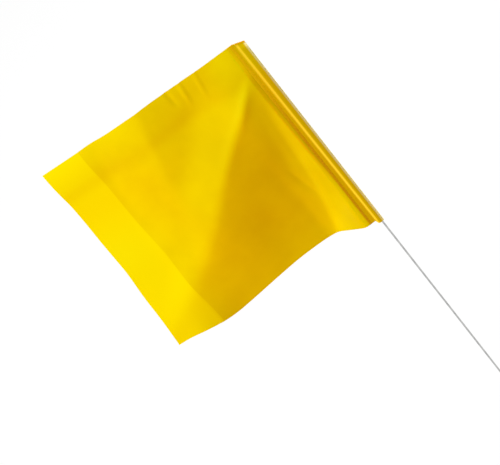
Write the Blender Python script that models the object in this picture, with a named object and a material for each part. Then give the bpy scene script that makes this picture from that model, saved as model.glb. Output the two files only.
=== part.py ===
"""Marker flag: a plastic film flag that turns on a steel wire staff.

Units are metres and +Z is up. The wire stands on the Z axis with its cut lower tip at the origin, and the flag
flies towards -X. One sheet of film makes the whole flag: its hoist edge goes round the wire, comes back behind
the panel and is welded to it in a line, so that film and weld make a sleeve. A second weld closes the sleeve's
top, and the flag hangs by that weld on the wire's upper tip.

The feature that takes the most care is the panel. It is a sheet whose direction at each point is the sum of the
bends between the seam and that point, so its folds are given as bends and its length stays the film's own.
"""

import math
from dataclasses import dataclass

import bmesh
import bpy
import numpy as np

# Staff
STAFF_LENGTH = 0.762
WIRE_DIAMETER = 0.00163
WIRE_END_BREAK = 0.00015
WIRE_SIDES = 20

# Film
FILM = 0.0002
HOIST = 0.2032
FLY_LOW = 0.2090
FLY_MIDDLE = 0.2001
FLY_HIGH = 0.2003
HEM_DROP = 0.0036

# The panel's middle stands up in a slight bow, and its lower fly corner is lifted. Each has its place and reach.
BOW = 0.0032
BOW_MIDDLE = 0.085
BOW_WIDTH = 0.045
CORNER_LIFT = 0.0118
CORNER_START = 0.140
CORNER_WIDTH = 0.060

# Sleeve, measured from the wire's axis: its legs lie flat and rise to a tube, which narrows to the wire's tip
SLEEVE_REACH = 0.0075
TUBE_START_LOW = 0.0050
TUBE_START_HIGH = 0.0070
TUBE_CROWN_LOW = 0.0008
TUBE_CROWN_HIGH = 0.0014
TUBE_SIDE = 0.0021
FRONT_SLACK = 0.0006
BACK_SLACK = 0.0012
TIP_SLACK = 0.0004
NARROWING = 0.030

# The film stands the hem's drop higher beside the tube than at it. Where that step starts, and how wide it is.
STEP_START_LOW = -0.0032
STEP_START_HIGH = 0.0020
STEP_WIDTH_LOW = 0.0016
STEP_WIDTH_HIGH = 0.0116

# Welds and the hem's loose edge
SEAM_WIDTH = 0.0024
SEAM_LAND = 0.0005
SEAM_GROOVE = 0.00015
TIP_PINCH = 0.0025
TIP_WELD = 0.0020
TIP_PINCH_RINGS = ((0.0, 1.0), (0.35, 0.72), (0.7, 0.22), (1.0, 0.0))
HEM_EDGE = 0.0024

# Space between solids that touch
GAP = 0.0003

# How finely the sheets are divided
PANEL_COLUMNS = 38
PANEL_ROWS = 15
PANEL_SAMPLES = 601
BEND_WEIGHT = 0.55
SLEEVE_ROWS = (0.0, 0.45, 0.86, 0.90, 0.93, 0.96, 0.98, 1.0)
LEG_SHARES = (1.0, 0.88, 0.77, 0.66, 0.56, 0.46, 0.36, 0.26, 0.14, 0.0)
ROUND_STEPS = 10
HEM_COLUMNS = 4
HEM_ROWS = 8


@dataclass(frozen=True)
class Bend:
    """A bend that crosses the panel from its lower edge to its upper edge.

    The distances run along the film from the panel's start, in metres. The turns are in degrees, at the lower
    edge, half way up and at the upper edge, and a positive one turns the film away from the viewer on -Y. A bend
    that fades runs out above the middle of the hoist.
    """

    low: float
    high: float
    spread_low: float
    spread_high: float
    turn_low: float
    turn_middle: float
    turn_high: float
    fades: bool = False


# Share of the hoist at which the bends that fade start to run out, and how wide that is
FADE_START = 0.59
FADE_WIDTH = 0.29

# Beside the seam the film turns back, runs as a steep strip and turns forward again in a valley
SHOULDER = Bend(0.0040, 0.0005, 0.0090, 0.0055, 40.5, 74.5, 76.5, fades=True)
STRIP = Bend(0.0025, 0.0075, 0.0100, 0.0040, 19.0, -14.5, -12.0, fades=True)
VALLEY = Bend(0.0380, -0.0075, 0.0085, 0.0065, -60.0, -64.0, -53.0, fades=True)
LEAN = Bend(0.0455, 0.0040, 0.0150, 0.0130, 2.0, -8.0, 9.0)

# The ridge runs from high up at the seam down to the lower edge near the fly
DIAGONAL_RIDGE = Bend(0.2210, -0.0345, 0.0330, 0.0080, -4.0, 11.5, 5.0)
CREST = Bend(0.2310, 0.0310, 0.0345, 0.0325, 7.0, -12.0, -5.5)

# A hollow band comes down from the upper edge between two bends
BAND_INNER = Bend(0.1330, 0.0490, 0.0190, 0.0150, -7.0, 1.0, -4.5)
BAND_OUTER = Bend(0.1430, 0.0945, 0.0160, 0.0110, -10.0, 8.0, 20.0)

# The swell of the middle, the crease from the pack, and the fly end's swell and curl
INNER_SWELL = Bend(-0.0020, 0.1370, 0.1010, 0.0720, -12.5, 9.0, 7.0)
OUTER_SWELL = Bend(0.0925, 0.1270, 0.0360, 0.0255, 14.5, 12.5, 14.0)
PACKING_CREASE = Bend(0.1625, 0.1625, 0.0020, 0.0020, 3.0, 0.0, 1.0)
FLY_CURL = Bend(0.1800, 0.1470, 0.0245, 0.0155, 22.0, -11.0, -26.0)
BENDS = (
    SHOULDER,
    STRIP,
    VALLEY,
    LEAN,
    DIAGONAL_RIDGE,
    CREST,
    BAND_INNER,
    BAND_OUTER,
    INNER_SWELL,
    OUTER_SWELL,
    PACKING_CREASE,
    FLY_CURL,
)

# Places that follow from the sizes above
WIRE_RADIUS = WIRE_DIAMETER / 2
LAYER_STEP = FILM + GAP
HEM_HIGH = STAFF_LENGTH + GAP + TIP_PINCH + TIP_WELD
HEM_LOW = HEM_HIGH - HOIST
PANEL_LOW = HEM_LOW + HEM_DROP
TIP_SHARE = (STAFF_LENGTH - HEM_LOW) / HOIST
SEAM_START = SLEEVE_REACH + GAP
PANEL_START = SEAM_START + SEAM_WIDTH + GAP


def clear_scene():
    """Removes what the scene holds, so that only the flag is left."""
    for thing in list(bpy.data.objects):
        bpy.data.objects.remove(thing, do_unlink=True)


def plain_material(name, colour, roughness, metallic=0.0):
    """A Principled material of one colour."""
    material = bpy.data.materials.new(name)
    material.use_nodes = True
    shader = material.node_tree.nodes["Principled BSDF"]
    shader.inputs["Base Color"].default_value = (*colour, 1.0)
    shader.inputs["Roughness"].default_value = roughness
    shader.inputs["Metallic"].default_value = metallic
    material.diffuse_color = (*colour, 1.0)
    return material


def add_object(name, mesh, material, smooth_below=35.0):
    """Puts a mesh in the scene as a named object, shaded smooth below the given angle in degrees."""
    mesh.materials.append(material)
    mesh.shade_smooth()
    mesh.set_sharp_from_angle(angle=math.radians(smooth_below))
    thing = bpy.data.objects.new(name, mesh)
    bpy.context.scene.collection.objects.link(thing)
    return thing


def mesh_from(name, shape):
    """Turns a bmesh into a mesh with its faces pointing outwards."""
    bmesh.ops.recalc_face_normals(shape, faces=shape.faces)
    mesh = bpy.data.meshes.new(name)
    shape.to_mesh(mesh)
    shape.free()
    return mesh


def film_object(name, points, material):
    """A piece of film: a grid of points on its middle surface, thickened by a Solidify modifier."""
    columns, rows = points.shape[:2]
    shape = bmesh.new()
    corners = [[shape.verts.new(points[i, j]) for j in range(rows)] for i in range(columns)]
    for left, right in zip(corners, corners[1:]):
        for j in range(rows - 1):
            shape.faces.new((left[j], right[j], right[j + 1], left[j + 1]))
    thing = add_object(name, mesh_from(name, shape), material)
    solid = thing.modifiers.new("film thickness", "SOLIDIFY")
    solid.thickness = FILM
    solid.offset = 0.0
    solid.use_even_offset = True
    return thing


def lofted_object(name, rings, material):
    """A solid with rings of equal point counts as its sections, closed at both ends."""
    shape = bmesh.new()
    loops = [[shape.verts.new(point) for point in ring] for ring in rings]
    for lower, upper in zip(loops, loops[1:]):
        for i in range(len(lower)):
            k = (i + 1) % len(lower)
            shape.faces.new((lower[i], lower[k], upper[k], upper[i]))
    shape.faces.new(list(reversed(loops[0])))
    shape.faces.new(loops[-1])
    return add_object(name, mesh_from(name, shape), material)


def smooth_step(share):
    """0 below 0, 1 above 1, and a smooth rise between."""
    share = np.clip(share, 0.0, 1.0)
    return share * share * (3.0 - 2.0 * share)


def through_three(low, middle, high, up):
    """The parabola through a low, a middle and a high value at 0, one half and 1."""
    return low * (1 - up) * (1 - 2 * up) + 4 * middle * up * (1 - up) + high * up * (2 * up - 1)


def film_direction(along, up):
    """The film's angle to the XZ plane: the sum of the bends that lie between the seam and each point."""
    angle = np.zeros_like(along)
    for bend in BENDS:
        place = bend.low + (bend.high - bend.low) * up
        spread = bend.spread_low + (bend.spread_high - bend.spread_low) * up
        turn = through_three(bend.turn_low, bend.turn_middle, bend.turn_high, up)
        if bend.fades:
            turn = turn * (1.0 - smooth_step((up - FADE_START) / FADE_WIDTH))
        angle += np.radians(turn) * smooth_step((along - place) / spread + 0.5)
    return angle


def edge_step(x, up):
    """How far the film stands above its edge at the tube: nothing there, and the hem's drop at the panel."""
    start = STEP_START_LOW + (STEP_START_HIGH - STEP_START_LOW) * up
    width = STEP_WIDTH_LOW + (STEP_WIDTH_HIGH - STEP_WIDTH_LOW) * up
    return HEM_DROP * smooth_step((start - x) / width)


def running_sum(values, steps):
    """The integral of values down the first axis, from 0, by the trapezium rule."""
    parts = 0.5 * (values[1:] + values[:-1]) * steps
    return np.concatenate([np.zeros((1, values.shape[1])), np.cumsum(parts, axis=0)])


def film_plan(along, up):
    """X and Y of points that lie the given distances along the film, at the given shares of the hoist."""
    angle = film_direction(along, up)
    steps = np.diff(along, axis=0)
    return -PANEL_START - running_sum(np.cos(angle), steps), running_sum(np.sin(angle), steps)


def panel_points():
    """The panel's middle surface: columns along the fly, closer where it bends, and rows up the hoist."""
    up = np.linspace(0.0, 1.0, PANEL_ROWS + 1)
    fly = through_three(FLY_LOW, FLY_MIDDLE, FLY_HIGH, up)
    along = np.linspace(0.0, 1.0, PANEL_SAMPLES)[:, None] * fly[None, :]
    heights = np.broadcast_to(up, along.shape)
    x, y = film_plan(along, heights)

    # Rows keep their distance along the film, so they draw together in height where the film leans.
    row = HOIST / PANEL_ROWS
    rise = np.sqrt(np.maximum(row**2 - np.diff(x, axis=1) ** 2 - np.diff(y, axis=1) ** 2, (row / 2) ** 2))
    z = np.concatenate([np.zeros((PANEL_SAMPLES, 1)), np.cumsum(rise, axis=1)], axis=1)
    z += PANEL_LOW + (HOIST - z[:, -1:]) / 2
    z += BOW * np.exp(-(((along - BOW_MIDDLE) / BOW_WIDTH) ** 2))
    z += CORNER_LIFT * smooth_step((along - CORNER_START) / CORNER_WIDTH) * (1.0 - up) ** 2

    # Columns are spaced by length plus bending, so that a sharp bend gets several.
    bending = np.abs(np.diff(film_direction(along, heights), axis=0)).mean(axis=1)
    weight = np.concatenate([[0.0], np.cumsum(1.0 / PANEL_SAMPLES + BEND_WEIGHT * bending)])
    picks = np.interp(np.linspace(0.0, weight[-1], PANEL_COLUMNS + 1), weight, np.arange(PANEL_SAMPLES))
    picks = np.round(picks).astype(int)
    return np.stack([x, y, z], axis=-1)[picks]


def sleeve_section(up):
    """The sleeve's middle line in plan, from the seam's front leg round the wire to its back leg.

    Each leg leaves the seam flat and rises as half a cosine wave. They meet in half an ellipse round the wire.
    The tube is deeper behind the wire than in front of it, and narrows onto the wire's tip.
    """
    narrow = float(smooth_step(np.array(((up - TIP_SHARE) * HOIST + NARROWING) / NARROWING)))
    front_depth = WIRE_RADIUS + FILM / 2 + FRONT_SLACK + (TIP_SLACK - FRONT_SLACK) * narrow
    back_depth = WIRE_RADIUS + FILM / 2 + BACK_SLACK + (TIP_SLACK - BACK_SLACK) * narrow
    leg = -SLEEVE_REACH * np.array(LEG_SHARES)
    start = TUBE_START_LOW + (TUBE_START_HIGH - TUBE_START_LOW) * up
    crown = TUBE_CROWN_LOW + (TUBE_CROWN_HIGH - TUBE_CROWN_LOW) * up
    wave = 0.5 * (1.0 + np.cos(math.pi * np.clip((-leg - crown) / (start - crown), 0.0, 1.0)))
    angle = np.linspace(0.0, math.pi, ROUND_STEPS + 1)[1:-1]
    half = (front_depth + back_depth) / 2
    front = np.stack([leg, -front_depth * wave], axis=1)
    side = np.stack([TUBE_SIDE * np.sin(angle), back_depth - half - half * np.cos(angle)], axis=1)
    back = np.stack([leg, LAYER_STEP + (back_depth - LAYER_STEP) * wave], axis=1)[::-1]
    return np.concatenate([front, side, back])


def sleeve_points():
    """The sleeve's middle surface: its section at a few heights, which are closer where it narrows."""
    rows = []
    for share in SLEEVE_ROWS:
        plan = sleeve_section(share * TIP_SHARE)
        low = HEM_LOW + edge_step(plan[:, 0], 0.0)
        rows.append(np.column_stack([plan, low + share * (STAFF_LENGTH - low)]))
    return np.stack(rows, axis=1)


def hem_edge_points():
    """The hem's loose edge behind the panel: the panel's own first stretch, one layer further back."""
    along = np.linspace(0.0, HEM_EDGE, HEM_COLUMNS + 1)[:, None] * np.ones((1, HEM_ROWS + 1))
    heights = np.broadcast_to(np.linspace(0.0, 1.0, HEM_ROWS + 1), along.shape)
    x, y = film_plan(along, heights)
    angle = film_direction(along, heights)
    x = x + LAYER_STEP * np.sin(angle)
    y = y + LAYER_STEP * np.cos(angle)
    return np.stack([x, y, PANEL_LOW + heights * HOIST], axis=-1)


def seam_weld_rings():
    """The seam weld's section at its lower and upper end: a band with a shallow groove down each face."""
    front, back = -FILM / 2, LAYER_STEP + FILM / 2
    near, far = -SEAM_START, -SEAM_START - SEAM_WIDTH
    slope = SEAM_GROOVE
    across = [near, near - SEAM_LAND, near - SEAM_LAND - slope, far + SEAM_LAND + slope, far + SEAM_LAND, far]
    sunk = [0.0, 0.0, SEAM_GROOVE, SEAM_GROOVE, 0.0, 0.0]
    outline = [(x, front + depth) for x, depth in zip(across, sunk)]
    outline += [(x, back - depth) for x, depth in zip(reversed(across), reversed(sunk))]
    lower = [(x, y, PANEL_LOW) for x, y in outline]
    upper = [(x, y, HEM_HIGH + float(edge_step(x, 1.0))) for x, y in outline]
    return [lower, upper]


def tip_weld_rings():
    """The weld that closes the sleeve: its open outline at the wire's tip, pinched flat, then a flat strip.

    Each of the pinch's rings gives a share of its height and how open the outline still is there. The strip's
    top edge falls towards the wire, as the film's does.
    """
    outline = sleeve_section(TIP_SHARE)
    middle = LAYER_STEP / 2
    half_flat = FILM + GAP / 2
    side = np.where(outline[:, 1] < middle, -1.0, 1.0)
    slant = edge_step(outline[:, 0], 1.0) / (TIP_PINCH + TIP_WELD)
    levels = [(share * TIP_PINCH, openness) for share, openness in TIP_PINCH_RINGS]
    levels.append((TIP_PINCH + TIP_WELD, 0.0))
    rings = []
    for rise, openness in levels:
        half = np.maximum(np.abs(outline[:, 1] - middle) * openness, half_flat)
        height = STAFF_LENGTH + GAP + rise * (1.0 + slant)
        rings.append(np.column_stack([outline[:, 0], middle + side * half, height]))
    return rings


def make_staff(material):
    """The wire: a drawn rod, cut square at both ends, with the burr just broken off the edges."""
    shape = bmesh.new()
    bmesh.ops.create_cone(
        shape,
        cap_ends=True,
        segments=WIRE_SIDES,
        radius1=WIRE_RADIUS,
        radius2=WIRE_RADIUS,
        depth=STAFF_LENGTH,
    )
    bmesh.ops.translate(shape, verts=shape.verts, vec=(0.0, 0.0, STAFF_LENGTH / 2))
    rims = [edge for edge in shape.edges if abs(edge.verts[0].co.z - edge.verts[1].co.z) < STAFF_LENGTH / 2]
    bmesh.ops.bevel(shape, geom=rims, offset=WIRE_END_BREAK, segments=1, affect="EDGES")
    return add_object("staff_wire", mesh_from("staff_wire", shape), material)


def main():
    """Builds the staff and the flag, and parents the flag's pieces to the axis that they turn about."""
    clear_scene()
    wire = plain_material("galvanised wire", (0.46, 0.46, 0.44), 0.38, 1.0)
    film = plain_material("yellow film", (0.87, 0.60, 0.01), 0.42)
    weld = plain_material("welded film", (0.62, 0.36, 0.005), 0.30)

    make_staff(wire)
    flag = [
        film_object("flag_panel", panel_points(), film),
        film_object("hoist_sleeve", sleeve_points(), film),
        film_object("hem_edge", hem_edge_points(), film),
        lofted_object("seam_weld", seam_weld_rings(), weld),
        lofted_object("tip_weld", tip_weld_rings(), weld),
    ]

    axis = bpy.data.objects.new("flag_turn_axis", None)
    axis.location = (0.0, 0.0, HEM_LOW)
    bpy.context.scene.collection.objects.link(axis)
    bpy.context.view_layer.update()
    for piece in flag:
        piece.parent = axis
        piece.matrix_parent_inverse = axis.matrix_world.inverted()


main()
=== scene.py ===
"""Marker flag, dressed: one sheet of yellow film with its two welds, on a steel wire staff.

Lengths are in metres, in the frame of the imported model: the wire stands on the Z axis and the flag flies
to -X. The film is one continuous surface. It starts at the hem's loose edge behind the panel, passes through
the seam weld, goes round the wire, comes back through the weld in front and runs on as the panel to the fly
edge. A place on the film is given by its distance along the film and by its share of the hoist, which is 0 at
the lower edge and 1 at the upper edge.
"""

import logging
import math
from dataclasses import dataclass, fields
from enum import Enum
from typing import Any

import bmesh
import bpy
import numpy as np
from mathutils import Matrix, Vector


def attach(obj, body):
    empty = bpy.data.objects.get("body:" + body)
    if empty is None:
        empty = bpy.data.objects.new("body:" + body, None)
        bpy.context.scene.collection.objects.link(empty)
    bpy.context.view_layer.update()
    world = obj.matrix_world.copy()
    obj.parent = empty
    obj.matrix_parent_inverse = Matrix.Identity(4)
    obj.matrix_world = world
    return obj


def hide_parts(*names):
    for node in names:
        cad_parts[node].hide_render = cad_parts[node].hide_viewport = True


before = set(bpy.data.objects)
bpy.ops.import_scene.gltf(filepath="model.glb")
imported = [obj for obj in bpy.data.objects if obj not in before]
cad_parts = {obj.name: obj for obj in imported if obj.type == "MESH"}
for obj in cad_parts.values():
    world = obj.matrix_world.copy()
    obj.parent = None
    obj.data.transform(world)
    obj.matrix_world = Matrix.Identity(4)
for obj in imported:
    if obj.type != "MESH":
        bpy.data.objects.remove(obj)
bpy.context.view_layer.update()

LOG = logging.getLogger("marker_flag")
IMAGE_WIDTH = 500

Pair = tuple[float, float]
Triple = tuple[float, float, float]
Colour = tuple[float, float, float]

WHITE: Colour = (1.0, 1.0, 1.0)
BLACK: Colour = (0.0, 0.0, 0.0)
# Distance along the film from the panel's start to the packing crease.
CREASE = 0.1625
# Where the folds beside the sleeve start to flatten out, and over how much more of the hoist they do.
HOIST_FADE: Pair = (0.40, 0.48)


class Output(Enum):
    """What a node tree is for, by the type of its last node."""

    MATERIAL = "ShaderNodeOutputMaterial"
    WORLD = "ShaderNodeOutputWorld"


def smooth_step(share: np.ndarray) -> np.ndarray:
    """0 below 0, 1 above 1, and 3t^2 - 2t^3 between."""
    share = np.clip(share, 0.0, 1.0)
    return share * share * (3.0 - 2.0 * share)


def between(ends: Pair, up: Any) -> Any:
    """The value at a share of the hoist, on the straight line from the lower edge's to the upper edge's."""
    low, high = ends
    return low + (high - low) * up


def through_three(values: Triple, up: np.ndarray) -> np.ndarray:
    """The parabola through three values, which hold at the lower edge, half way up and at the upper edge."""
    low, middle, high = values
    return low * (1 - up) * (1 - 2 * up) + 4 * middle * up * (1 - up) + high * up * (2 * up - 1)


def running_sum(values: np.ndarray, steps: np.ndarray) -> np.ndarray:
    """The integral of values down the first axis, from 0, by the trapezium rule."""
    parts = 0.5 * (values[1:] + values[:-1]) * steps
    return np.concatenate([np.zeros((1, values.shape[1])), np.cumsum(parts, axis=0)])


def grid_normals(points: np.ndarray) -> np.ndarray:
    """Unit normals of a grid of points: the cross product of its two difference vectors."""
    across = np.gradient(points, axis=1)
    down = np.gradient(points, axis=0)
    normal = np.cross(across, down)
    return normal / np.maximum(np.linalg.norm(normal, axis=-1, keepdims=True), 1e-12)


def grid_faces(columns: int, rows: int, closed: bool = False) -> np.ndarray:
    """The quads of a grid whose points run row by row within each column.

    Args:
        columns: points along the first axis.
        rows: points along the second axis.
        closed: True joins the last column to the first one.

    Returns:
        An array of four point numbers for each quad.
    """
    span = columns if closed else columns - 1
    i, j = np.meshgrid(np.arange(span), np.arange(rows - 1), indexing="ij")
    k = (i + 1) % columns
    quads = np.stack([i * rows + j, i * rows + j + 1, k * rows + j + 1, k * rows + j], axis=-1)
    return quads.reshape(-1, 4)


def make_object(name: str, points: np.ndarray, faces: list, material: bpy.types.Material) -> bpy.types.Object:
    """Puts a mesh of points and faces in the scene, smooth shaded.

    Args:
        name: the piece's name.
        points: its points, in any array shape whose last axis is X, Y, Z.
        faces: point numbers of each face.
        material: its only material.

    Returns:
        The new object, at the origin.
    """
    mesh = bpy.data.meshes.new(name)
    mesh.from_pydata(points.reshape(-1, 3), [], faces)
    mesh.validate()
    mesh.shade_smooth()
    mesh.materials.append(material)
    piece = bpy.data.objects.new(name, mesh)
    bpy.context.scene.collection.objects.link(piece)
    return piece


def set_uv(piece: bpy.types.Object, u: np.ndarray, v: np.ndarray) -> None:
    """Gives a piece the UV map "cut" from one U and V per point.

    Args:
        piece: the mesh object.
        u: U of each point, in the points' order.
        v: V of each point, in the points' order.
    """
    mesh = piece.data
    corner_points = np.zeros(len(mesh.loops), np.int32)
    mesh.loops.foreach_get("vertex_index", corner_points)
    per_point = np.stack([u.ravel(), v.ravel()], axis=1)
    layer = mesh.uv_layers.new(name="cut")
    layer.data.foreach_set("uv", per_point[corner_points].astype(np.float32).ravel())


class Signal:
    """A node's output that takes part in arithmetic: each operator adds one Math node."""

    def __init__(self, graph: "Graph", socket: bpy.types.NodeSocket) -> None:
        """Keeps the socket and the graph that it belongs to."""
        self.graph = graph
        self.socket = socket

    def math(self, operation: str, *values: Any) -> "Signal":
        """One Math node with the given operation and inputs."""
        return self.graph.node("ShaderNodeMath", dict(enumerate(values)), {"operation": operation})

    def __add__(self, other: Any) -> "Signal":
        """self + other."""
        return self.math("ADD", self, other)

    def __sub__(self, other: Any) -> "Signal":
        """self - other."""
        return self.math("SUBTRACT", self, other)

    def __rsub__(self, other: Any) -> "Signal":
        """other - self."""
        return self.math("SUBTRACT", other, self)

    def __mul__(self, other: Any) -> "Signal":
        """self * other."""
        return self.math("MULTIPLY", self, other)

    __radd__ = __add__
    __rmul__ = __mul__

    def rise(self, start: float, end: float) -> "Signal":
        """0 below start and 1 above end, with a smooth rise between."""
        sockets = {"Value": self, "From Min": start, "From Max": end}
        return self.graph.node("ShaderNodeMapRange", sockets, {"interpolation_type": "SMOOTHSTEP"})


class Graph:
    """The node tree of a material or a world, and the methods that add nodes to it."""

    def __init__(self, owner: Any, output: Output = Output.MATERIAL) -> None:
        """Empties the tree of the owner, a new material or world."""
        owner.use_nodes = True
        self.owner = owner
        self.output = output
        self.tree = owner.node_tree
        self.tree.nodes.clear()

    def node(
        self, kind: str, sockets: dict | None = None, settings: dict | None = None, out: Any = 0
    ) -> Signal:
        """Adds one node.

        Args:
            kind: the node's type.
            sockets: values or signals of its inputs, by name or number.
            settings: its properties, which are set first; "stops" fills a colour ramp.
            out: the output that is handed back, by name or number.

        Returns:
            That output.
        """
        made = self.tree.nodes.new(kind)
        for key, value in (settings or {}).items():
            if key == "stops":
                self.set_stops(made.color_ramp, value)
            else:
                setattr(made, key, value)
        for key, value in (sockets or {}).items():
            self.feed(made.inputs[key], value)
        return Signal(self, made.outputs[out])

    def set_stops(self, ramp: bpy.types.ColorRamp, stops: list[tuple[float, Colour]]) -> None:
        """Fills a colour ramp with stops, each a place and a colour."""
        while len(ramp.elements) < len(stops):
            ramp.elements.new(1.0)
        for element, (place, colour) in zip(ramp.elements, stops):
            element.position = place
            element.color = (*colour, 1.0)

    def feed(self, socket: bpy.types.NodeSocket, value: Any) -> None:
        """Links a signal to a socket, or sets the socket to a number or colour."""
        if isinstance(value, Signal):
            self.tree.links.new(value.socket, socket)
        elif isinstance(value, tuple) and len(value) == 3 and len(socket.default_value) == 4:
            socket.default_value = (*value, 1.0)
        else:
            socket.default_value = value

    def noise(self, at: Signal, size: float, detail: float) -> Signal:
        """A noise from 0 to 1, finer with a larger size."""
        return self.node("ShaderNodeTexNoise", {"Vector": at, "Scale": size, "Detail": detail})

    def stretched(self, at: Signal, scale: Triple) -> Signal:
        """A place with each axis scaled."""
        return self.node("ShaderNodeMapping", {"Vector": at, "Scale": scale})

    def axis(self, at: Signal, name: str) -> Signal:
        """One axis of a place."""
        return self.node("ShaderNodeSeparateXYZ", {"Vector": at}, out=name)

    def mix_colour(self, share: Any, first: Any, second: Any) -> Signal:
        """first where share is 0 and second where it is 1."""
        return self.node("ShaderNodeMix", {0: share, 6: first, 7: second}, {"data_type": "RGBA"}, out=2)

    def scaled(self, colour: Signal, factor: Signal) -> Signal:
        """A colour times a factor."""
        return self.node("ShaderNodeVectorMath", {0: colour, "Scale": factor}, {"operation": "SCALE"})

    def bump(self, height: Signal, distance: float, strength: float) -> Signal:
        """A normal that leans as if the surface rose by distance where the height is 1."""
        return self.node("ShaderNodeBump", {"Height": height, "Distance": distance, "Strength": strength})

    def mix_shader(self, share: Any, first: Signal, second: Signal) -> Signal:
        """The first shader where share is 0 and the second where it is 1."""
        return self.node("ShaderNodeMixShader", {0: share, 1: first, 2: second})

    def finish(self, shader: Signal) -> Any:
        """Joins the shader to the tree's last node and hands back the material or world."""
        last = self.tree.nodes.new(self.output.value)
        self.tree.links.new(shader.socket, last.inputs["Surface"])
        return self.owner


@dataclass(frozen=True)
class Fold:
    """A bend across the panel, from its lower edge to its upper edge.

    Attributes:
        place: the bend's middle, along the film from the panel's start, at the lower and the upper edge.
        spread: the bend's width along the film, at the lower and the upper edge.
        turn: degrees at the lower edge, half way up and at the upper edge. A positive turn leads the film
            away from the viewer, who stands at -Y.
        fade: share of the hoist where the bend starts to flatten out and how much more it takes to be flat.
        sag: how far the bend's line bows towards the fly half way up.
    """

    place: Pair
    spread: Pair
    turn: Triple
    fade: Pair | None = None
    sag: float = 0.0

    def angle(self, along: np.ndarray, up: np.ndarray) -> np.ndarray:
        """The turn made so far: the fold's turn at that height, times a smooth step over its spread.

        Args:
            along: distance along the film from the panel's start.
            up: share of the hoist.

        Returns:
            The angle in radians at each point.
        """
        place = between(self.place, up) + 4.0 * self.sag * up * (1.0 - up)
        turn = through_three(self.turn, up)
        if self.fade is not None:
            start, width = self.fade
            turn = turn * (1.0 - smooth_step((up - start) / width))
        return np.radians(turn) * smooth_step((along - place) / between(self.spread, up) + 0.5)


@dataclass(frozen=True)
class PanelFolds:
    """The panel's bends. The first four shape the hollow beside the sleeve and fade out upwards."""

    shoulder: Fold = Fold((0.0040, 0.0005), (0.0090, 0.0055), (37.0, 62.0, 32.0), HOIST_FADE)
    strip: Fold = Fold((0.0025, 0.0075), (0.0100, 0.0040), (11.0, -14.0, -18.0), HOIST_FADE)
    valley_near: Fold = Fold((0.0340, 0.0050), (0.0110, 0.0050), (-44.0, -44.0, -3.0), HOIST_FADE, -0.0065)
    valley_far: Fold = Fold((0.0345, 0.0020), (0.0080, 0.0080), (-10.0, -8.5, -0.5), HOIST_FADE, 0.0040)
    lean: Fold = Fold((0.0455, 0.0040), (0.0150, 0.0130), (2.0, -8.0, 9.0))
    ridge: Fold = Fold((0.2158, -0.0425), (0.0300, 0.0160), (-4.0, 15.5, 5.0))
    crest: Fold = Fold((0.2285, 0.0265), (0.0345, 0.0325), (7.0, -13.4, -5.5))
    band_near: Fold = Fold((0.1330, 0.0490), (0.0190, 0.0150), (-2.0, 1.0, -4.5))
    band_far: Fold = Fold((0.1430, 0.0945), (0.0160, 0.0110), (-5.0, 8.0, 19.0))
    wave_inner: Fold = Fold((-0.0020, 0.1370), (0.1010, 0.0720), (-2.0, 9.0, 7.0))
    wave_outer: Fold = Fold((0.0925, 0.1270), (0.0360, 0.0255), (5.5, 12.5, 8.0))
    crease: Fold = Fold((CREASE, CREASE), (0.0020, 0.0020), (9.0, 1.0, 1.0))
    tail: Fold = Fold((0.1800, 0.1470), (0.0245, 0.0155), (16.0, -9.5, -21.0))

    def direction(self, along: np.ndarray, up: np.ndarray) -> np.ndarray:
        """The film's angle to the XZ plane: the sum of the turns of all folds."""
        return sum(getattr(self, part.name).angle(along, up) for part in fields(self))


@dataclass(frozen=True)
class Crinkle:
    """A short ridge that stands up from the film along a line, or a furrow if its height is negative.

    Attributes:
        start: one end of the line, as distance along the film and share of the hoist.
        end: the other end.
        width: distance from the line where the ridge has fallen to about a third.
        height: how far the ridge stands up in the middle of the line.
    """

    start: Pair
    end: Pair
    width: float
    height: float

    def rise(self, along: np.ndarray, up: np.ndarray, hoist: float) -> np.ndarray:
        """The ridge at each point: a bell curve across its line, times half a sine wave along the line.

        Args:
            along: distance along the film from the panel's start.
            up: share of the hoist.
            hoist: the sheet's height.

        Returns:
            The height of each point above the film.
        """
        start = np.array([self.start[0], self.start[1] * hoist])
        line = np.array([self.end[0], self.end[1] * hoist]) - start
        length = float(np.hypot(*line))
        off = np.stack([along, up * hoist], axis=-1) - start
        share = off @ line / length**2
        away = (off[..., 0] * line[1] - off[..., 1] * line[0]) / length
        fade = np.sin(math.pi * np.clip(share, 0.0, 1.0))
        return self.height * fade * np.exp(-((away / self.width) ** 2))


@dataclass(frozen=True)
class PanelCrinkles:
    """The panel's fine wrinkles. Lines may start or end past the film's edges."""

    branch: Crinkle = Crinkle((0.0020, 0.84), (0.0890, 0.50), 0.0050, 0.00080)
    middle_hollow: Crinkle = Crinkle((0.1000, -0.12), (0.0600, 0.30), 0.0260, -0.00080)
    edge_near: Crinkle = Crinkle((0.0350, 1.03), (0.0400, 0.87), 0.0016, 0.00055)
    edge_middle: Crinkle = Crinkle((0.0500, 1.04), (0.0540, 0.88), 0.0016, 0.00075)
    edge_far: Crinkle = Crinkle((0.0640, 1.03), (0.0630, 0.91), 0.0020, -0.00070)
    strip_dent: Crinkle = Crinkle((0.0310, 0.44), (0.0240, 0.17), 0.0030, -0.00050)
    hem_furrow: Crinkle = Crinkle((0.0395, 0.56), (0.0440, -0.30), 0.0060, -0.00060)
    apex_rib: Crinkle = Crinkle((0.0010, 0.86), (0.0370, 0.69), 0.0040, 0.00080)

    def rise(self, along: np.ndarray, up: np.ndarray, hoist: float) -> np.ndarray:
        """The sum of all wrinkles' heights at each point."""
        return sum(getattr(self, part.name).rise(along, up, hoist) for part in fields(self))


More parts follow.
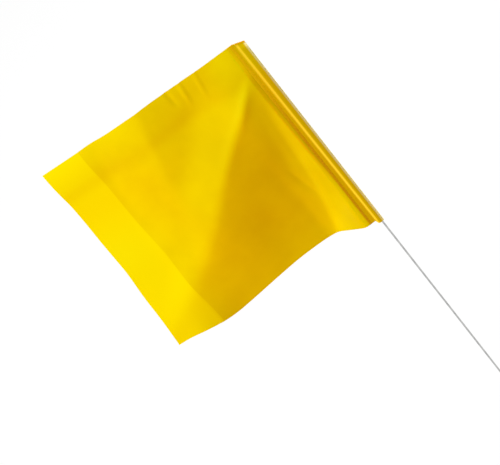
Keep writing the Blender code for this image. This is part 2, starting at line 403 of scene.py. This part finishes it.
@dataclass(frozen=True)
class Shift:
    """A move of the panel's lower part, which grows along the film and fades out upwards.

    Attributes:
        amount: the full move, at the lower edge.
        start: distance along the film where the move starts.
        width: distance in which it grows to the full move.
        height: share of the hoist from which nothing moves.
    """

    amount: float
    start: float
    width: float
    height: float = 1.0

    def at(self, along: np.ndarray, up: np.ndarray) -> np.ndarray:
        """The move of each point."""
        grown = smooth_step((along - self.start) / self.width)
        return self.amount * grown * np.clip(1.0 - up / self.height, 0.0, 1.0) ** 2


@dataclass(frozen=True)
class Layout:
    """Sizes that the parts of the film share.

    The panel's edges stand above the sleeve's ends by edge_step, and the hem's layer lies layer_step behind
    the panel's. The weld's edges and the panel's start are distances from the wire's axis.
    """

    sleeve_low: float = 0.5636
    hoist: float = 0.2032
    edge_step: float = 0.0036
    thickness: float = 0.0002
    layer_step: float = 0.0005
    weld: Pair = (0.0078, 0.0102)
    panel_start: float = 0.0105
    rows: int = 150

    @property
    def sleeve_top(self) -> float:
        """Height of the sleeve's upper end."""
        return self.sleeve_low + self.hoist

    @property
    def panel_low(self) -> float:
        """Height of the panel's lower edge at the hoist."""
        return self.sleeve_low + self.edge_step

    @property
    def row_shares(self) -> np.ndarray:
        """Each row's share of the hoist."""
        return np.linspace(0.0, 1.0, self.rows + 1)


@dataclass(frozen=True)
class Panel:
    """The single layer that flies.

    Attributes:
        fly: length along the film at the lower edge, half way up and at the upper edge.
        bow: how far the panel rises, in a bell curve along the film round bow_middle.
        hem_rise: the lower edge's rise past the hollow beside the sleeve.
        corner_lift: the lower corner's rise.
        corner_pull: the lower corner's move towards the viewer.
        samples: points along the film at which the bends are summed.
        bend_weight: how many more columns of faces a bend gets than a flat part.
    """

    layout: Layout = Layout()
    fly: Triple = (0.2064, 0.1993, 0.2006)
    bow: float = 0.0032
    bow_middle: float = 0.085
    bow_width: float = 0.045
    hem_rise: Shift = Shift(0.0021, 0.028, 0.025)
    corner_lift: Shift = Shift(0.0102, 0.140, 0.060)
    corner_pull: Shift = Shift(0.0080, 0.142, 0.085, 0.45)
    folds: PanelFolds = PanelFolds()
    crinkles: PanelCrinkles = PanelCrinkles()
    columns: int = 200
    samples: int = 1201
    bend_weight: float = 0.35

    def points(self) -> tuple[np.ndarray, np.ndarray]:
        """The panel as a surface of distance along the film and share of the hoist.

        X falls by the cosine and Y grows by the sine of the film's direction, summed along the film. Rows
        keep their distance from each other along the film, so they draw together in height where it leans.

        Returns:
            The points, columns first, and each point's distance along the film.
        """
        layout = self.layout
        up = layout.row_shares
        along = np.linspace(0.0, 1.0, self.samples)[:, None] * through_three(self.fly, up)[None, :]
        heights = np.broadcast_to(up, along.shape)
        angle = self.folds.direction(along, heights)
        steps = np.diff(along, axis=0)
        x = -layout.panel_start - running_sum(np.cos(angle), steps)
        y = running_sum(np.sin(angle), steps)
        z = self.row_heights(x, y) + self.bow * np.exp(-(((along - self.bow_middle) / self.bow_width) ** 2))
        z += self.corner_lift.at(along, up) + self.hem_rise.at(along, up)
        y -= self.corner_pull.at(along, up)
        picks = self.picked_columns(angle)
        along, heights = along[picks], heights[picks]
        points = np.stack([x, y, z], axis=-1)[picks]
        rise = self.crinkles.rise(along, heights, layout.hoist)
        return points + grid_normals(points) * rise[..., None], along

    def row_heights(self, x: np.ndarray, y: np.ndarray) -> np.ndarray:
        """Z of each point, so that rows keep their distance along the film and stay centred in the hoist."""
        layout = self.layout
        row = layout.hoist / layout.rows
        left = row**2 - np.diff(x, axis=1) ** 2 - np.diff(y, axis=1) ** 2
        risen = np.cumsum(np.sqrt(np.maximum(left, (row / 2) ** 2)), axis=1)
        z = np.concatenate([np.zeros((self.samples, 1)), risen], axis=1)
        return z + layout.panel_low + (layout.hoist - z[:, -1:]) / 2

    def picked_columns(self, angle: np.ndarray) -> np.ndarray:
        """Numbers of the samples that become the mesh's columns, closer together where the film bends."""
        bending = np.abs(np.diff(angle, axis=0)).mean(axis=1)
        weight = np.concatenate([[0.0], np.cumsum(1.0 / self.samples + self.bend_weight * bending)])
        even = np.linspace(0.0, weight[-1], self.columns + 1)
        return np.round(np.interp(even, weight, np.arange(self.samples))).astype(int)


@dataclass(frozen=True)
class Sleeve:
    """The film round the wire, from the hem's side of the weld to the panel's start.

    The axis is the wire's. A pair holds for the lower and the upper end, except tip_depths (front and back)
    and pinch_edges (before and past the weld).

    Attributes:
        reach: how far the tube stands past the axis, away from the panel.
        leg: distance from the axis to the end of each leg.
        crown: distance from the axis in which the tube keeps its depth.
        tube_start: distance from the axis to where the tube starts.
        front_slack: room between wire and film in front, with back_slack behind.
        tip_slack: the room near the wire's tip, reached over the height of narrowing.
        tip_flat: height of the flat top.
        tip_depths: places of the layers in the flat top, in halves of the layer step.
        pinch: how far each layer moves towards the other inside the weld, in halves of the layer step.
        pinch_edges: distance in which the layers draw together and part again.
        step_start: X where the film's edge starts to rise from the sleeve's end.
        step_width: distance in which it rises.
    """

    layout: Layout = Layout()
    wire_radius: float = 0.000815
    wire_top: float = 0.762
    reach: float = 0.0021
    leg: float = 0.0075
    crown: Pair = (0.0008, 0.0028)
    tube_start: Pair = (0.0050, 0.0073)
    front_slack: float = 0.00060
    back_slack: float = 0.00120
    tip_slack: float = 0.00030
    narrowing: float = 0.030
    tip_flat: float = 0.0020
    tip_depths: Pair = (0.6, 1.4)
    pinch: float = 0.5
    pinch_edges: Pair = (0.0006, 0.0003)
    step_start: Pair = (-0.0032, 0.0020)
    step_width: Pair = (0.0016, 0.0116)
    leg_points: int = 25
    round_points: int = 21
    flat_points: int = 13

    @property
    def length(self) -> float:
        """Distance along the film from the hem's side of the weld to the panel's start, half way up."""
        return float(np.linalg.norm(np.diff(self.plan(0.5), axis=0), axis=1).sum())

    def depths(self, height: float) -> Pair:
        """How deep the tube is in front of and behind the wire's axis at a height.

        The room round the wire shrinks towards its tip, and above the tip the tube goes flat.
        """
        flat_from = self.layout.sleeve_top - self.tip_flat
        narrow = float(smooth_step(np.array((height - self.wire_top + self.narrowing) / self.narrowing)))
        closed = float(smooth_step(np.array((height - self.wire_top) / (flat_from - self.wire_top))))
        middle = self.layout.layer_step / 2
        skin = self.wire_radius + self.layout.thickness / 2
        front = between((skin + self.front_slack, skin + self.tip_slack), narrow)
        back = between((skin + self.back_slack, skin + self.tip_slack), narrow)
        front_flat, back_flat = -self.tip_depths[0] * middle, self.tip_depths[1] * middle
        return between((front, front_flat), closed), between((back, back_flat), closed)

    def plan(self, up: float) -> np.ndarray:
        """The sleeve seen from above, from the hem's side of the weld round the wire to the panel's start.

        Both layers lie side by side and pinch together inside the weld. Each leg stays flat, then rises as
        half a cosine wave to a tube, which half an ellipse closes round the wire.

        Args:
            up: share of the hoist.

        Returns:
            X and Y of each point.
        """
        layout = self.layout
        front_depth, back_depth = self.depths(layout.sleeve_low + up * layout.hoist)
        step = layout.layer_step
        crown, start = between(self.crown, up), between(self.tube_start, up)
        leg = np.linspace(0.0, self.leg, self.leg_points)
        wave = 0.5 * (1.0 + np.cos(math.pi * np.clip((leg - crown) / (start - crown), 0.0, 1.0)))
        front = np.stack([-leg, -front_depth * wave], axis=1)
        back = np.stack([-leg, step + (back_depth - step) * wave], axis=1)
        angle = np.linspace(0.0, math.pi, self.round_points)[1:-1]
        middle, half = (back_depth - front_depth) / 2, (front_depth + back_depth) / 2
        side = np.stack([self.reach * np.sin(angle), middle + half * np.cos(angle)], axis=1)
        flat = np.linspace(self.leg, layout.panel_start, self.flat_points)[1:]
        near, far = layout.weld
        before, past = self.pinch_edges
        inside = smooth_step((flat - near) / before + 1.0) * smooth_step((far - flat) / past + 1.0)
        moved = self.pinch * step / 2 * inside
        front_flat = np.stack([-flat, moved], axis=1)
        back_flat = np.stack([-flat, step - moved], axis=1)
        return np.concatenate([back_flat[::-1], back[::-1], side, front, front_flat])

    def edge_rise(self, x: np.ndarray, up: np.ndarray) -> np.ndarray:
        """How far the film's edge stands above the sleeve's end: not at the tube, a whole step at the panel.

        The rise is short at the lower edge, where the tube's end stands out, and long at the upper edge.

        Args:
            x: X of the sleeve's points.
            up: share of the hoist of each row.

        Returns:
            The rise of each point.
        """
        share = (between(self.step_start, up) - x) / between(self.step_width, up)
        return self.layout.edge_step * smooth_step(share)

    def points(self) -> np.ndarray:
        """The sleeve's points, columns first, in the order in which the film runs."""
        up = self.layout.row_shares
        plans = np.stack([self.plan(share) for share in up], axis=1)
        z = self.layout.sleeve_low + up[None, :] * self.layout.hoist + self.edge_rise(plans[..., 0], up)
        return np.concatenate([plans, z[..., None]], axis=-1)


@dataclass(frozen=True)
class Stop:
    """A colour of a ramp, at a distance along the film from the panel's start back towards the wire."""

    back: float
    colour: Colour


@dataclass(frozen=True)
class FilmFinish:
    """Matt yellow film that reflects lemon and lets an orange light through.

    The pairs beside_painted_shade, slant and glow hold values for the lower and the upper edge; glow scales
    the painted glows. Every other pair is a range, where a change starts and is complete: of a noise in
    cloud_range, of shares of the hoist in those named heights, else of distances along the film, past the
    panel's start in beside, lip and crook and back from it towards the wire in the rest.
    """

    # The panel, with faint clouds, painted light that makes it paler past the crease, and painted shade that
    # makes it darker high up.
    reflected: Colour = (0.80, 0.79, 0.0)
    # Painted light: the paler colour of the fly strip past the crease.
    outer: Colour = (0.94, 0.945, 0.0)
    crease_blur: float = 0.0006
    cloud_size: float = 26.0
    cloud_detail: float = 4.0
    cloud_depth: float = 0.05
    cloud_range: Pair = (0.3, 0.7)
    # Painted shade: the share by which the panel is darker high up than low down.
    painted_dimming: float = 0.07
    painted_dimming_heights: Pair = (0.15, 0.60)
    # The panel beside the seam: painted shade beside it, dark orange painted shade in the crook, and painted
    # orange light where the hem's lip lies behind.
    seam_edge: Pair = (-0.0004, 0.0006)
    beside: Pair = (0.014, 0.040)
    # Painted shade beside the seam, at the lower and the upper edge.
    beside_painted_shade: Pair = (0.09, 0.15)
    beside_heights: Pair = (0.10, 0.50)
    apex_heights: Pair = (0.82, 0.92)
    # Painted light: a redder colour where the hem's lip lies behind, standing in for orange light passing
    # through.
    over_lip_painted_light: Colour = (1.0, 0.72, 0.0)
    lip: Pair = (0.0036, 0.0052)
    # Painted shade: a dark orange band in the crook beside the seam, at middle heights.
    crook_painted_shade: Colour = (0.94, 0.36, 0.0)
    crook_share: float = 0.9
    crook: Pair = (0.0024, 0.0060)
    crook_heights: Pair = (0.20, 0.55)
    # The sleeve's border, which lies nearer the fly high up, where the sleeve's first colour reaches onto the
    # panel as painted shade, and the slant of its colours.
    border: Pair = (-0.0050, -0.0034)
    border_shift: float = 0.0050
    border_heights: Pair = (0.10, 0.60)
    slant: Pair = (-0.0005, 0.0017)
    slant_end: Pair = (0.0060, 0.0100)
    tone_fade: float = 0.15
    tone_fade_heights: Pair = (0.60, 0.95)
    # The sleeve's colours, with a painted highlight, a painted shadow over the wire and a painted light rim,
    # and emitted glows that paint more highlight and rim light.
    # Pressed: the deeper colour of film pressed at the weld, and painted shade where it reaches onto the
    # panel high up.
    pressed: Colour = (0.84, 0.54, 0.0)
    # Painted highlight: the bright line along the tube.
    highlight: Colour = (1.0, 0.76, 0.03)
    # Painted shadow of the wire, seen through the film.
    over_wire: Colour = (0.68, 0.45, 0.0)
    # Painted light: the pale rim at the tube's outer edge.
    rim: Colour = (1.0, 0.86, 0.42)
    back_tone: Colour = (0.80, 0.66, 0.0)
    # Painted glows: emission that adds highlight on the tube and light at the rim.
    painted_highlight_glow: Colour = (0.20, 0.02, 0.0)
    wire_glow: Colour = (0.03, 0.0, 0.0)
    painted_rim_glow: Colour = (0.34, 0.27, 0.03)
    tip_glow: Colour = (0.48, 0.40, 0.14)
    # How strong the painted glows are at the lower and the upper edge.
    glow: Pair = (1.3, 0.8)
    ramp_length: float = 0.020
    tones: tuple[Stop, ...] = (
        Stop(0.0030, pressed),
        Stop(0.0040, pressed),
        Stop(0.0053, highlight),
        Stop(0.0061, highlight),
        Stop(0.0076, over_wire),
        Stop(0.0100, over_wire),
        Stop(0.0114, rim),
        Stop(0.0142, rim),
        Stop(0.0156, back_tone),
    )
    painted_glows: tuple[Stop, ...] = (
        Stop(0.0044, BLACK),
        Stop(0.0056, painted_highlight_glow),
        Stop(0.0061, painted_highlight_glow),
        Stop(0.0076, wire_glow),
        Stop(0.0106, wire_glow),
        Stop(0.0122, painted_rim_glow),
        Stop(0.0138, tip_glow),
        Stop(0.0156, BLACK),
    )
    # How much of the light passes through: less round the wire, beside the seam, on the lip and high up.
    passed: Colour = (1.0, 0.13, 0.0)
    passed_share: float = 0.31
    passed_share_tube: float = 0.16
    tube: Pair = (0.0040, 0.0060)
    less_beside: float = 0.06
    less_on_lip: float = 0.12
    less_high: float = 0.05
    high_heights: Pair = (0.72, 0.92)
    # The surface.
    sheen_tint: Colour = (1.0, 0.80, 0.10)
    specular: float = 0.08
    roughness: float = 0.36
    roughness_swing: float = 0.10
    grain_size: float = 900.0
    grain_detail: float = 2.0
    grain_bump: float = 0.00002

    def build(self, film: "Film") -> bpy.types.Material:
        """The film's material, drawn on the UV map of the flat cut.

        Args:
            film: the sheet, for the size of its cut and the place of its seam.

        Returns:
            The material.
        """
        g = Graph(bpy.data.materials.new("yellow_film"))
        uv = g.node("ShaderNodeUVMap", settings={"uv_map": "cut"})
        place = g.stretched(uv, (film.cut_span, film.layout.hoist, 1.0))
        run, height = g.axis(place, "X"), g.axis(uv, "Y")
        past, back = run - film.seam_run, film.seam_run - run
        cloud = g.noise(place, self.cloud_size, self.cloud_detail)
        on_panel = 1.0 - back.rise(*self.seam_edge)
        beside = 1.0 - past.rise(*self.beside)
        lip = (1.0 - past.rise(*self.lip)) * on_panel
        below_apex = 1.0 - height.rise(*self.apex_heights)
        crook = (1.0 - past.rise(*self.crook)) * height.rise(*self.crook_heights) * below_apex
        slant = back + between(self.slant, height) * (1.0 - back.rise(*self.slant_end))
        panel = self.panel_colour(g, past, height, cloud)
        # Painted light: redder over the hem's lip.
        panel = g.mix_colour(lip, panel, self.over_lip_painted_light)
        # Painted shade in the crook beside the seam.
        panel = g.mix_colour(crook * self.crook_share, panel, self.crook_painted_shade)
        # High up the sleeve's first colour reaches onto the panel as painted shade beside the seam.
        sleeve = (back - self.border_shift * (1.0 - height.rise(*self.border_heights))).rise(*self.border)
        sleeve = sleeve * (1.0 - self.tone_fade * height.rise(*self.tone_fade_heights))
        joined = g.mix_colour(sleeve, panel, self.ramp(g, slant, self.tones))
        # Painted shade beside the seam, fading out near the apex.
        shade = beside * between(self.beside_painted_shade, height.rise(*self.beside_heights)) * below_apex * on_panel
        share = between((self.passed_share, self.passed_share_tube), back.rise(*self.tube))
        share = share - self.less_beside * beside - self.less_on_lip * lip
        share = share - self.less_high * height.rise(*self.high_heights)
        bump = g.bump(g.noise(place, self.grain_size, self.grain_detail), self.grain_bump, 1.0)
        gloss = g.node(
            "ShaderNodeBsdfPrincipled",
            {
                "Base Color": g.scaled(joined, 1.0 - shade),
                "Roughness": self.roughness + self.roughness_swing * (cloud - 0.5),
                "Specular IOR Level": self.specular,
                "Specular Tint": self.sheen_tint,
                "Normal": bump,
                # Emission: painted highlight and painted rim light, stronger low down.
                "Emission Color": g.scaled(self.ramp(g, slant, self.painted_glows), between(self.glow, height)),
                "Emission Strength": 1.0,
            },
        )
        through = g.node("ShaderNodeBsdfTranslucent", {"Color": self.passed, "Normal": bump})
        return g.finish(g.mix_shader(share, gloss, through))

    def panel_colour(self, g: Graph, past: Signal, height: Signal, cloud: Signal) -> Signal:
        """The panel's colour, with painted light past the crease and painted shade high up.

        Args:
            g: the material's graph.
            past: distance along the film past the panel's start.
            height: share of the hoist.
            cloud: the clouds' noise.

        Returns:
            The colour.
        """
        deeper = tuple(c * (1 - self.cloud_depth) for c in self.reflected)
        paler = tuple(min(c * (1 + self.cloud_depth), 1.0) for c in self.reflected)
        body = g.mix_colour(cloud.rise(*self.cloud_range), deeper, paler)
        # Painted light: the fly strip past the crease is paler.
        painted_lit_strip = past.rise(CREASE - self.crease_blur, CREASE + self.crease_blur)
        # Painted shade: the panel is darker towards its upper edge.
        lit = 1.0 - self.painted_dimming * height.rise(*self.painted_dimming_heights)
        return g.scaled(g.mix_colour(painted_lit_strip, body, self.outer), lit)

    def ramp(self, g: Graph, back: Signal, stops: tuple[Stop, ...]) -> Signal:
        """The colours of some stops, one after another from the seam round the wire.

        Args:
            g: the material's graph.
            back: distance from the panel's start back towards the wire.
            stops: the colours and their places.

        Returns:
            The colour.
        """
        places = [(stop.back / self.ramp_length, stop.colour) for stop in stops]
        return g.node("ShaderNodeValToRGB", {"Fac": back * (1.0 / self.ramp_length)}, {"stops": places})


@dataclass(frozen=True)
class WeldFinish:
    """Film pressed hot between ribbed jaws: darker, glossier, mottled, and paler high up."""

    colour: Colour = (0.82, 0.43, 0.0)
    deep: Colour = (0.73, 0.33, 0.0)
    upper: Colour = (0.96, 0.60, 0.0)
    upper_from: Pair = (0.66, 0.76)
    passed: Colour = (1.0, 0.10, 0.0)
    passed_share: float = 0.24
    sheen_tint: Colour = (1.0, 0.75, 0.15)
    specular: float = 0.4
    roughness: float = 0.28
    roughness_swing: float = 0.12
    mottle_size: float = 700.0
    mottle_detail: float = 3.0
    mottle_range: Pair = (0.35, 0.65)

    def build(self) -> bpy.types.Material:
        """The weld's material, on Object coordinates."""
        g = Graph(bpy.data.materials.new("welded_film"))
        at = g.node("ShaderNodeTexCoord", out="Object")
        mottle = g.noise(at, self.mottle_size, self.mottle_detail)
        pressed = g.mix_colour(mottle.rise(*self.mottle_range), self.deep, self.colour)
        gloss = g.node(
            "ShaderNodeBsdfPrincipled",
            {
                "Base Color": g.mix_colour(g.axis(at, "Z").rise(*self.upper_from), pressed, self.upper),
                "Roughness": self.roughness + self.roughness_swing * (mottle - 0.5),
                "Specular IOR Level": self.specular,
                "Specular Tint": self.sheen_tint,
            },
        )
        through = g.node("ShaderNodeBsdfTranslucent", {"Color": self.passed})
        return g.finish(g.mix_shader(self.passed_share, gloss, through))


@dataclass(frozen=True)
class GalvanisedFinish:
    """Drawn steel wire with a zinc coat: long fine draw lines and dull grey clouds."""

    bright: Colour = (0.56, 0.56, 0.55)
    dull: Colour = (0.36, 0.36, 0.36)
    roughness: float = 0.36
    roughness_swing: float = 0.18
    line_stretch: float = 0.02
    line_size: float = 9000.0
    line_detail: float = 2.0
    line_range: Pair = (0.3, 0.7)
    line_share: float = 0.3
    line_bump: float = 0.00002
    bump_strength: float = 0.6
    cloud_size: float = 130.0
    cloud_detail: float = 5.0
    cloud_range: Pair = (0.35, 0.7)
    cloud_share: float = 0.7

    def build(self) -> bpy.types.Material:
        """The wire's material, on Object coordinates with the draw lines along Z."""
        g = Graph(bpy.data.materials.new("galvanised_wire"))
        at = g.node("ShaderNodeTexCoord", out="Object")
        lines = g.noise(g.stretched(at, (1.0, 1.0, self.line_stretch)), self.line_size, self.line_detail)
        cloud = g.noise(at, self.cloud_size, self.cloud_detail)
        clouded = cloud.rise(*self.cloud_range) * self.cloud_share
        worn = clouded + lines.rise(*self.line_range) * self.line_share
        gloss = g.node(
            "ShaderNodeBsdfPrincipled",
            {
                "Base Color": g.mix_colour(worn, self.bright, self.dull),
                "Metallic": 1.0,
                "Roughness": self.roughness + self.roughness_swing * worn,
                "Normal": g.bump(lines, self.line_bump, self.bump_strength),
            },
        )
        return g.finish(gloss)


@dataclass(frozen=True)
class Film:
    """The film sheet: hem lip, sleeve and panel in one surface.

    The hem's loose edge reaches past the panel's start by hem_lip. It stands further from the panel than its
    root by lip_gape, a share of the layer step. One in lip_stride of its samples is a column of the mesh.
    """

    layout: Layout = Layout()
    sleeve: Sleeve = Sleeve()
    panel: Panel = Panel()
    hem_lip: float = 0.0027
    lip_gape: float = 0.8
    lip_samples: int = 60
    lip_stride: int = 10

    @property
    def seam_run(self) -> float:
        """Distance along the cut from the hem's loose edge, round the wire, to the panel's start."""
        return self.sleeve.length + self.hem_lip

    @property
    def cut_width(self) -> float:
        """The sheet's flat width along the fly, half way up."""
        return self.seam_run + self.panel.fly[1]

    @property
    def cut_span(self) -> float:
        """The width that the UV map spans: the sheet's longest row."""
        return self.seam_run + self.panel.fly[0]

    def hem_points(self) -> np.ndarray:
        """The hem's lip behind the panel: the panel's own first stretch, one layer behind it, edge first."""
        layout = self.layout
        up = layout.row_shares
        along = np.linspace(0.0, self.hem_lip, self.lip_samples)[:, None] * np.ones((1, up.size))
        heights = np.broadcast_to(up, along.shape)
        angle = self.panel.folds.direction(along, heights)
        steps = np.diff(along, axis=0)
        lift = layout.layer_step * (1.0 + self.lip_gape * (along / self.hem_lip) ** 2)
        x = -layout.panel_start - running_sum(np.cos(angle), steps) + lift * np.sin(angle)
        y = running_sum(np.sin(angle), steps) + lift * np.cos(angle)
        z = layout.panel_low + heights * layout.hoist
        return np.stack([x, y, z], axis=-1)[:: -self.lip_stride]

    def points(self) -> tuple[np.ndarray, np.ndarray]:
        """The whole sheet in one grid.

        Returns:
            The points, columns first, and each one's distance along the flat cut from the hem's loose edge.
        """
        points = np.concatenate([self.hem_points(), self.sleeve.points()])
        middle = points[:, self.layout.rows // 2]
        run = np.concatenate([[0.0], np.cumsum(np.linalg.norm(np.diff(middle, axis=0), axis=1))])
        run = np.broadcast_to(run[:, None], points.shape[:2])
        panel, along = self.panel.points()
        return np.concatenate([points, panel[1:]]), np.concatenate([run, run[-1:] + along[1:]])

    def build(self, finish: FilmFinish) -> bpy.types.Object:
        """Args:
            finish: the film's finish.

        Returns:
            The sheet's object.
        """
        points, run = self.points()
        faces = grid_faces(points.shape[0], points.shape[1])
        piece = make_object("film_sheet", points, faces.tolist(), finish.build(self))
        set_uv(piece, run / self.cut_span, np.broadcast_to(self.layout.row_shares, run.shape))
        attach(piece, "flag")
        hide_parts("flag_panel", "hoist_sleeve", "hem_edge")
        self.cut_width
        return piece


@dataclass(frozen=True)
class Welds:
    """The two pressed bands that make a sleeve of the film: the long seam and one over the wire's tip.

    Squareness is the power of their section's outline, where 2 would be an ellipse. Rings are the sections
    along each band.
    """

    film: Film = Film()
    thickness: float = 0.00042
    squareness: float = 5.0
    section_points: int = 20
    rib_pitch: float = 0.0012
    rib_depth: float = 0.00004
    tip_height: float = 0.0020
    seam_rings: int = 680
    tip_rings: int = 60

    def band(self, start: Vector, end: Vector, across: Vector, rings: int) -> tuple[np.ndarray, list]:
        """A flat band with rounded edges and fine cross ribs on both faces.

        Its section is a squared-off ellipse, |a|^n + |b|^n = 1, and its thickness has a sine wave along the
        band.

        Args:
            start: middle of one end.
            end: middle of the other end.
            across: half the band's width, as a vector.
            rings: sections along the band.

        Returns:
            The points and the faces.
        """
        sides = self.section_points
        angle = np.linspace(0.0, 2.0 * math.pi, sides, endpoint=False)
        power = 2.0 / self.squareness
        a = np.sign(np.cos(angle)) * np.abs(np.cos(angle)) ** power
        b = np.sign(np.sin(angle)) * np.abs(np.sin(angle)) ** power
        share = np.linspace(0.0, 1.0, rings)
        waves = share * (end - start).length / self.rib_pitch
        half = self.thickness / 2 + 0.5 * self.rib_depth * np.sin(2.0 * math.pi * waves)
        middle = np.array(start)[None, :] + share[:, None] * np.array(end - start)[None, :]
        deep = (b[:, None] * half)[..., None] * np.array([0.0, 1.0, 0.0])
        points = middle[None] + a[:, None, None] * np.array(across) + deep
        faces = grid_faces(sides, rings, closed=True).tolist()
        faces.append([i * rings for i in range(sides)])
        faces.append([i * rings + rings - 1 for i in reversed(range(sides))])
        return points, faces

    def build(self, finish: WeldFinish) -> list[bpy.types.Object]:
        """Makes both welds and dresses them.

        Args:
            finish: the welds' finish.

        Returns:
            The seam weld and the tip weld.
        """
        material = finish.build()
        layout = self.film.layout
        near, far = layout.weld
        x, middle = -(near + far) / 2, layout.layer_step / 2
        low = Vector((x, middle, layout.panel_low))
        high = Vector((x, middle, layout.panel_low + layout.hoist))
        seam_across = Vector(((far - near) / 2, 0.0, 0.0))
        top = layout.sleeve_top - self.tip_height / 2
        left = Vector((-near, middle, top + layout.edge_step))
        right = Vector((self.film.sleeve.reach, middle, top))
        tip_across = Vector((0.0, 0.0, self.tip_height / 2))
        seam = make_object("seam_weld_band", *self.band(low, high, seam_across, self.seam_rings), material)
        tip = make_object("tip_weld_band", *self.band(left, right, tip_across, self.tip_rings), material)
        for piece, node in ((seam, "seam_weld"), (tip, "tip_weld")):
            self.face_outwards(piece)
            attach(piece, "flag")
            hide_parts(node)
        return [seam, tip]

    def face_outwards(self, piece: bpy.types.Object) -> None:
        """Turns a closed mesh's faces so that they point outwards."""
        shape = bmesh.new()
        shape.from_mesh(piece.data)
        bmesh.ops.recalc_face_normals(shape, faces=shape.faces)
        shape.to_mesh(piece.data)
        shape.free()


@dataclass(frozen=True)
class Staff:
    """The wire staff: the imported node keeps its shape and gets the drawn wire's finish."""

    node: str = "staff_wire"

    def dress(self, finish: GalvanisedFinish) -> bpy.types.Object:
        """Gives the node its material.

        Args:
            finish: the wire's finish.

        Returns:
            The node's object.
        """
        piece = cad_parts[self.node]
        material = finish.build()
        for place in piece.material_slots:
            place.material = material
        return piece


@dataclass(frozen=True)
class Lamp:
    """A square lamp that the camera doesn't see, some way off in a direction. Its power is in watts."""

    name: str
    direction: Triple
    distance: float
    power: float
    size: float

    def build(self, centre: Triple) -> bpy.types.Object:
        """Hangs the lamp so that it faces the centre, and hands back its object."""
        data = bpy.data.lights.new(self.name, "AREA")
        data.energy = self.power
        data.size = self.size
        lamp = bpy.data.objects.new(self.name, data)
        towards = Vector(self.direction).normalized()
        lamp.location = Vector(centre) + towards * self.distance
        lamp.rotation_mode = "QUATERNION"
        lamp.rotation_quaternion = towards.to_track_quat("Z", "Y")
        lamp.visible_camera = False
        bpy.context.scene.collection.objects.link(lamp)
        return lamp


@dataclass(frozen=True)
class Camera:
    """The camera, rolled so that the staff leans in the picture.

    Distance and elevation are measured from the hoist's middle, and yaw and pitch turn the view away from it.
    Angles are in degrees, the focal length in pixels of the picture and the sensor in millimetres.
    """

    hoist_middle: float = 0.6652
    distance: float = 1.040
    elevation: float = 23.0
    yaw: float = -5.578
    pitch: float = 1.570
    roll: float = -40.443
    focal_pixels: float = 1253.0
    sensor: float = 36.0

    def build(self) -> bpy.types.Object:
        """Puts the camera in the scene and looks through it."""
        up, tilt = math.radians(self.elevation), math.radians(self.elevation + self.pitch)
        turn, roll = math.radians(self.yaw), math.radians(self.roll)
        ahead = Vector((math.sin(turn) * math.cos(tilt), math.cos(turn) * math.cos(tilt), -math.sin(tilt)))
        level = ahead.cross(Vector((0.0, 0.0, 1.0))).normalized()
        above = level.cross(ahead)
        right = math.cos(roll) * level + math.sin(roll) * above
        top = -math.sin(roll) * level + math.cos(roll) * above
        towards = Vector((0.0, math.cos(up), -math.sin(up)))
        data = bpy.data.cameras.new("camera")
        data.sensor_width = self.sensor
        data.lens = self.focal_pixels * self.sensor / IMAGE_WIDTH
        camera = bpy.data.objects.new("camera", data)
        turned = Matrix((right, top, -ahead)).transposed().to_4x4()
        turned.translation = Vector((0.0, 0.0, self.hoist_middle)) - self.distance * towards
        camera.matrix_world = turned
        bpy.context.scene.collection.objects.link(camera)
        bpy.context.scene.camera = camera
        return camera


@dataclass(frozen=True)
class Studio:
    """Floor, lamps, world and camera.

    The lamps face the centre. The floor reflects floor_grey onto the object, floor_shown to the camera, and
    the share floor_glow of what the camera sees of it is plain white.
    """

    centre: Triple = (-0.09, 0.0, 0.665)
    lamps: tuple[Lamp, ...] = (
        Lamp("key_lamp", (-0.43, -0.61, 0.67), 6.8, 584.0, 1.8),
        Lamp("back_lamp", (0.42, 0.78, 0.55), 4.4, 264.0, 3.2),
        Lamp("rim_lamp", (0.80, 0.35, 0.30), 1.7, 8.0, 0.5),
    )
    floor_size: float = 30.0
    floor_grey: float = 0.05
    floor_shown: float = 0.9
    floor_glow: float = 0.975
    world_strength: float = 0.06

    def seen_or_mirrored(self, g: Graph) -> Signal:
        """1 for rays from the camera and for reflections, 0 for the rest."""
        seen = g.node("ShaderNodeLightPath", out="Is Camera Ray")
        return seen.math("MAXIMUM", seen, g.node("ShaderNodeLightPath", out="Is Glossy Ray"))

    def floor(self) -> bpy.types.Object:
        """A pale floor that shows white to the camera and keeps part of the object's shadow."""
        half = self.floor_size / 2
        points = np.array([[-half, -half, 0.0], [half, -half, 0.0], [half, half, 0.0], [-half, half, 0.0]])
        g = Graph(bpy.data.materials.new("pale_floor"))
        plain = g.node("ShaderNodeBsdfDiffuse", {"Color": (self.floor_grey,) * 3})
        pale = g.node("ShaderNodeBsdfDiffuse", {"Color": (self.floor_shown,) * 3})
        white = g.node("ShaderNodeEmission", {"Color": WHITE, "Strength": 1.0})
        shown = g.mix_shader(self.floor_glow, pale, white)
        material = g.finish(g.mix_shader(self.seen_or_mirrored(g), plain, shown))
        floor = make_object("floor", points, [[0, 1, 2, 3]], material)
        return floor

    def world(self) -> bpy.types.World:
        """A dim even light that the camera and reflections see as white."""
        g = Graph(bpy.data.worlds.new("studio"), Output.WORLD)
        dim = g.node("ShaderNodeBackground", {"Color": WHITE, "Strength": self.world_strength})
        white = g.node("ShaderNodeBackground", {"Color": WHITE, "Strength": 1.0})
        world = g.finish(g.mix_shader(self.seen_or_mirrored(g), dim, white))
        bpy.context.scene.world = world
        return world

    def build(self) -> None:
        """Sets up everything around the object."""
        Camera().build()
        self.floor()
        self.world()
        for lamp in self.lamps:
            lamp.build(self.centre)
        bpy.context.scene.view_settings.view_transform = "Standard"


def main() -> None:
    """Builds the studio and the flag's pieces in order."""
    logging.basicConfig(level=logging.INFO)
    Studio().build()
    film = Film()
    pieces = [Staff().dress(GalvanisedFinish()), film.build(FilmFinish()), *Welds(film).build(WeldFinish())]
    for piece in pieces:
        LOG.info("%s: %d faces", piece.name, len(piece.data.polygons))


if __name__ == "__main__":
    main()
